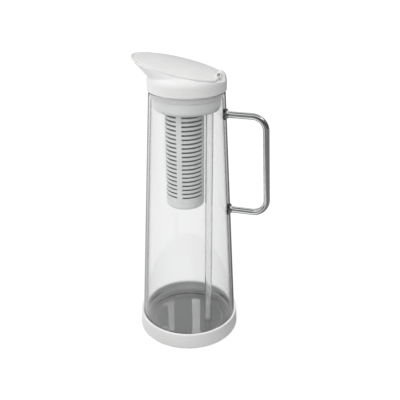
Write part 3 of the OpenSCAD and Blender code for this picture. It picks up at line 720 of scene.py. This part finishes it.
def stopper():
    """Bowl that hangs in the neck: one turned profile with the seal's groove, a flange and a snap collar,
    joined to the filter's spigot and bored for the spigot and the air tube."""
    floor_top, floor_mid = PLUG_Z + PLUG_FLOOR, PLUG_Z + PLUG_FLOOR / 2
    bowl = even(fillet([
        (0, PLUG_Z, 0), (PLUG_LOW_R, PLUG_Z, PLUG_ROUND), (PLUG_R, GROOVE_Z, 0.35), (GROOVE_R, GROOVE_Z, 0),
        (GROOVE_R, FLANGE_Z, 0), (FLANGE_R, FLANGE_Z, 0.25), (FLANGE_R, HEAD_Z, 0.25), (COLLAR_R, HEAD_Z, 0),
        (COLLAR_R, COLLAR_TOP, 0.5), (PLUG_IN_R, COLLAR_TOP, 0.4), (PLUG_IN_R, floor_top, PLUG_ROUND),
        (0, floor_top, 0)]), 5.0)
    inner, groove = SPIGOT_IN - 0.5, ORING_REACH - 2 * ORING_R
    groove_low, groove_high = ORING_Z - ORING_R, ORING_Z + ORING_R
    spigot = even(fillet([
        (inner, SPIGOT_Z, 0), (SPIGOT_R, SPIGOT_Z, 0.5), (SPIGOT_R, groove_low, 0), (groove, groove_low, 0),
        (groove, groove_high, 0), (SPIGOT_R, groove_high, 0), (SPIGOT_R, floor_mid, 0),
        (inner, floor_mid, 0)]), 4.0, True)
    mesh = carved(
        solid(turned(bowl)),
        (JOIN, solid(turned(spigot, FILTER_X, 96), True)),
        (CUT, drum(FILTER_X, SPIGOT_Z - 2, floor_top + 2, SPIGOT_IN, 96)),
        (CUT, drum(TUBE_X, PLUG_Z - 2, floor_top + PLUG_ROUND - 1, BUSH_R + 0.05)),
    )
    place("stopper", mesh, "lid", "plug", STOPPER_PALE)


def ring(r0, r1, z0, z1, soft, pitch=5.0):
    """Profile of a plain ring with its four corners softened."""
    corners = [(r0, z0, soft), (r1, z0, soft), (r1, z1, soft), (r0, z1, soft)]
    return even(fillet(corners, 4), pitch, True)


def seals_and_tube():
    """Turned rings: neck seal with two beads, air tube, its bush, and the spigot's ring."""
    z0, z1, inner, waist = GROOVE_Z + FIT, FLANGE_Z - FIT, SEAL_R - SEAL_T, SEAL_R - BEAD
    seal = even(fillet([
        (inner, z0, 0.2), (SEAL_R, z0, 0.7), (SEAL_R, z0 + BEAD_H, 0.7), (waist, z0 + BEAD_H, 0.3),
        (waist, z1 - BEAD_H, 0.3), (SEAL_R, z1 - BEAD_H, 0.7), (SEAL_R, z1, 0.7), (inner, z1, 0.2)]), 3.0, True)
    place("neck_ring", solid(turned(seal), True), "seal", "neck_seal", SILICONE)
    tube = solid(turned(ring(TUBE_IN, TUBE_R, TUBE_Z, TUBE_TOP, 0.25, 12.0), TUBE_X, 64), True)
    pipe = place("air_pipe", tube, "lid", "air_tube", TUBE_CLEAR)
    pipe.visible_shadow = pipe.visible_diffuse = False
    low, high = PLUG_Z - BUSH_LIP, PLUG_Z + PLUG_FLOOR + BUSH_LIP
    bush = fillet([
        (BUSH_IN, low, 0.15), (BUSH_FLANGE_R, low, 0.25), (BUSH_FLANGE_R, PLUG_Z, 0), (BUSH_R, PLUG_Z, 0),
        (BUSH_R, high, 0.3), (BUSH_IN, high, 0.15)], 5)
    place("tube_collar", solid(turned(bush, TUBE_X, 64), True), "lid", "tube_bush", SILICONE)
    turn = np.linspace(0, 2 * pi, 24, endpoint=False)
    cord = solid(turned(arc(ORING_REACH - ORING_R, ORING_Z, ORING_R - 0.05, turn), FILTER_X, 96), True)
    place("spigot_cord", cord, "lid", "spigot_ring", RUBBER_DARK)


# Filter


def slotted_sleeve():
    """Drum wall on a grid of angle and height with a mask of open cells: outer and inner quads cover the
    closed cells, and a wall joins the two wherever an open cell meets a closed one."""
    rib, window = radians(RIB_ANGLE), 2 * pi / RIBS - radians(RIB_ANGLE)
    cells = [np.full(WINDOW_CELLS, window / WINDOW_CELLS), np.full(RIB_CELLS, rib / RIB_CELLS)]
    turn = np.cumsum(np.concatenate([[rib / 2], np.tile(np.concatenate(cells), RIBS)]))[:-1]
    is_window = np.tile(np.arange(WINDOW_CELLS + RIB_CELLS) < WINDOW_CELLS, RIBS)
    at_rib = ~is_window | ~np.roll(is_window, 1)
    centres = FILTER_TOP - SLOT_START - SLOT_PITCH * np.arange(SLOT_ROWS)
    levels = np.sort(np.concatenate([
        [SLEEVE_Z, SLEEVE_Z + 3.0, FILTER_TOP], centres - SLOT_H / 2, centres + SLOT_H / 2]))
    mid = (levels[:-1] + levels[1:]) / 2
    in_slot = (np.abs(mid[:, None] - centres[None, :]) < SLOT_H / 2).any(1)
    is_open = in_slot[:, None] & is_window[None, :]
    n, m = len(levels), len(turn)

    def points(r):
        x, y = FILTER_X + r * np.cos(turn), r * np.sin(turn)
        return np.stack(np.broadcast_arrays(x, y, levels[:, None]), axis=-1).reshape(-1, 3)

    outside = np.where(at_rib, FILTER_R + RIB_SET, FILTER_R)
    verts = np.concatenate([points(outside), points(np.full(m, SLEEVE_IN))])
    index = np.arange(n * m).reshape(n, m)
    right = np.roll(index, -1, 1)
    a, b, c, d = index[:-1], right[:-1], right[1:], index[1:]
    far = n * m
    faces = [np.stack([a, b, c, d], -1)[~is_open]]
    faces.append(np.stack([a + far, d + far, c + far, b + far], -1)[~is_open])
    upright = np.roll(is_open, 1, 1) != is_open
    faces.append(np.stack([a, d, d + far, a + far], -1)[upright])
    padded = np.vstack([np.ones((1, m), bool), is_open, np.ones((1, m), bool)])
    level = padded[1:] != padded[:-1]
    faces.append(np.stack([index, right, right + far, index + far], -1)[level])
    mesh = bpy.data.meshes.new("sleeve")
    mesh.from_pydata((verts * MM).tolist(), [], np.concatenate(faces).tolist())
    made = bmesh.new()
    made.from_mesh(mesh)
    bmesh.ops.delete(made, geom=[v for v in made.verts if not v.link_faces], context="VERTS")
    bmesh.ops.recalc_face_normals(made, faces=made.faces)
    made.to_mesh(mesh)
    made.free()
    sleeve = place("slotted_sleeve", mesh, "filter", "filter_sleeve", FILTER_WHITE, 40)
    soften = sleeve.modifiers.new("soft_edges", "BEVEL")
    soften.width, soften.segments = SLEEVE_SOFT * MM, 2
    soften.limit_method, soften.angle_limit = "ANGLE", radians(50)


def filter_inside():
    """Turned pieces on the filter's axis: end cap, collar, mesh wrap, carbon block and its two washers."""
    def piece(name, line, node, finish, loop=True):
        place(name, solid(turned(line, FILTER_X, 112), loop), "filter", node, finish)

    joint, cap_top = SLEEVE_Z - FIT, FILTER_Z + CAP_FLOOR
    cap = even(fillet([
        (0, FILTER_Z, 0), (FILTER_R, FILTER_Z, 2.5), (FILTER_R, joint, 0.25), (COLLAR_OUT, joint, 0),
        (COLLAR_OUT, joint + CAP_RING, 0.3), (RING_IN, joint + CAP_RING, 0.2), (RING_IN, cap_top, 0.5),
        (0, cap_top, 0)]), 4.0)
    socket = even(fillet([
        (CORE_R, COLLAR_Z, 0.2), (COLLAR_OUT, COLLAR_Z, 0.3), (COLLAR_OUT, FILTER_TOP, 0.3),
        (SOCKET_R, FILTER_TOP, 0.5), (SOCKET_R, SOCKET_Z, 0.4), (CORE_R, SOCKET_Z, 0.3)]), 4.0, True)
    wrap = ring(MESH_R - MESH_T, MESH_R, BLOCK_Z, BLOCK_TOP, 0.1)
    core = ring(CORE_R, BLOCK_R, BLOCK_Z, BLOCK_TOP, 0.4)
    upper = ring(CORE_R, BLOCK_R, BLOCK_TOP, COLLAR_Z, 0.2)
    lower = ring(CORE_R, BLOCK_R, cap_top, BLOCK_Z, 0.2)
    piece("end_cap", cap, "filter_cap", FILTER_WHITE, False)
    piece("spigot_socket", socket, "filter_collar", FILTER_DARK)
    piece("mesh_wrap", wrap, "filter_mesh", MESH_GREY)
    piece("carbon_core", core, "carbon_block", CARBON)
    piece("upper_washer", upper, "washer_top", SILICONE)
    piece("lower_washer", lower, "washer_bottom", SILICONE)


jug_glass()
handle_rod()
base_pieces()
lid_shell()
flap_shell()
hinge_rod()
stopper()
seals_and_tube()
slotted_sleeve()
filter_inside()


# Studio: sizes from here on are in metres

VIEW_TURN, VIEW_DROP = radians(15.42), radians(25.37)
CAMERA_AT = Vector((0.1718, -0.5692, 0.4525))
TO_RIGHT = (cos(VIEW_TURN), sin(VIEW_TURN), 0.0)
AWAY = (-sin(VIEW_TURN), cos(VIEW_TURN), 0.0)
TABLE_HALF, TABLE_Z = 8.0, -0.0002
LAMP_AWAY, LAMP_LOW, LAMP_HIGH = 1.6, 0.3, 1.6
BLACK, WHITE = (0, 0, 0), (1, 1, 1)


def camera():
    """Stands where the photograph was taken from, with its field of view."""
    data = bpy.data.cameras.new("camera")
    data.lens, data.sensor_width = 50.0, 36.0
    data.clip_start, data.clip_end = 0.01, 100.0
    obj = bpy.data.objects.new("camera", data)
    scene.collection.objects.link(obj)
    look = Vector((AWAY[0] * cos(VIEW_DROP), AWAY[1] * cos(VIEW_DROP), -sin(VIEW_DROP)))
    obj.location = CAMERA_AT
    obj.rotation_euler = look.to_track_quat("-Z", "Y").to_euler()
    scene.camera = obj


def surround():
    """World light: bright from above, from the left and from the viewer's side, with a little fill from behind
    and from the right.

    What is seen directly or through glass is plain white. Mirrors see a dim room with a bright ring overhead
    and a bright left side.
    """
    world = bpy.data.worlds.new("studio")
    scene.world = world
    g = Graph(world)
    way = g.add("TexCoord", {}, {}, "Generated")
    left, away, up = -1.0 * g.along(way, TO_RIGHT), g.along(way, AWAY), g.along(way, (0, 0, 1))
    soft = 0.28 + 0.44 * left - 0.76 * away + 0.98 * up
    fill = 0.5 * away.rising(0.1, 0.8) + 0.15 * (-1.0 * left).rising(0.5, 1.0)
    overhead = up.rising(0.6, 0.68) * (1.0 - up.rising(0.78, 0.86))
    room = 0.08 + 0.9 * overhead + 0.62 * left.rising(0.25, 0.75)
    room = room + 0.22 * up.rising(0.2, 0.9) + 0.25 * away.rising(0.3, 0.9)
    mirrored = g.ray("Glossy")
    seen = g.ray("Camera").larger(g.ray("Transmission"))
    level = (soft.larger(0.03) + fill) * (1.0 - mirrored) + room * mirrored
    level = level * (1.0 - seen) + seen
    back = g.add("Background", {}, {"Color": g.tint(level / 3.0, BLACK, (3, 3, 3))})
    g.add("OutputWorld", {}, {"Surface": back})


def backdrop(name, corners, material, z=0.0):
    """Puts a flat piece of the studio in the scene, which is no part of the pitcher."""
    mesh = bpy.data.meshes.new(name)
    mesh.from_pydata(corners, [], [(0, 1, 2, 3)])
    mesh.materials.append(material)
    obj = bpy.data.objects.new(name, mesh)
    obj.location.z = z
    scene.collection.objects.link(obj)
    return obj


def floor():
    """Pale table. Seen directly, in mirrors or through glass it is lifted to white but keeps the shadow.

    Through glass it is a little dimmer, most at the right. Mirrors see it dark at the right and towards the
    viewer. The light that it throws on to the pitcher is least from close by and from the right.
    """
    material, g = new_finish("table_white")
    through, mirrored = g.ray("Transmission"), g.ray("Glossy")
    seen = g.ray("Camera").larger(through).larger(mirrored)
    at = g.coords()
    right, away = g.along(at, TO_RIGHT), g.along(at, AWAY)
    near = 1.0 - g.length(at).rising(0.07, 0.3)
    thrown = (0.72 - 0.5 * right.rising(-0.1, 0.25)) * (1.0 - 0.8 * near)
    tone = thrown * (1.0 - seen) + 0.8 * seen + 0.02 * g.noise(30.0)
    plain = g.add("BsdfDiffuse", {}, {"Color": g.tint(tone, BLACK, WHITE)})
    dim = 0.1 + 0.03 * right.rising(-0.05, 0.05) + 0.3 * right.rising(0.06, 0.4)
    dark = 0.85 * (-1.0 * away).rising(0.2, 0.5) + 0.95 * right.rising(0.02, 0.09)
    dark = (dark + 0.15 * (-1.0 * right).rising(0.06, 0.2)).clipped()
    shade = 1.0 - through * dim - mirrored * (1.0 - through) * dark
    lift = g.add("Emission", {}, {"Color": g.tint(shade, BLACK, (1.15, 1.15, 1.15))})
    g.end(g.add("MixShader", {}, {0: seen * 0.75, 1: plain, 2: lift}))
    h = TABLE_HALF
    backdrop("table", [(-h, -h, 0), (h, -h, 0), (h, h, 0), (-h, h, 0)], material, TABLE_Z)


def strip_lamps():
    """Two narrow upright lamps behind the pitcher, which show only through its glass.

    Each stands at the same distance from the camera, some degrees to the side of its line of sight.
    """
    ahead, right = Vector(AWAY[:2]), Vector(TO_RIGHT[:2])
    for name, turn, width, strength in (("strip_right", -0.26, 0.034, 5.0), ("strip_left", -4.3, 0.03, 3.6)):
        middle = CAMERA_AT.xy + (cos(radians(turn)) * ahead + sin(radians(turn)) * right) * LAMP_AWAY
        a, b = middle - right * width / 2, middle + right * width / 2
        material, g = new_finish(name)
        g.end(g.add("Emission", {}, {"Color": (*WHITE, 1), "Strength": strength}))
        corners = [(*a, LAMP_LOW), (*b, LAMP_LOW), (*b, LAMP_HIGH), (*a, LAMP_HIGH)]
        lamp = backdrop(name, corners, material)
        lamp.visible_camera = lamp.visible_diffuse = lamp.visible_glossy = lamp.visible_shadow = False


camera()
surround()
floor()
strip_lamps()
scene.view_settings.view_transform = "Standard"
scene.cycles.caustics_reflective = False
scene.cycles.caustics_refractive = False
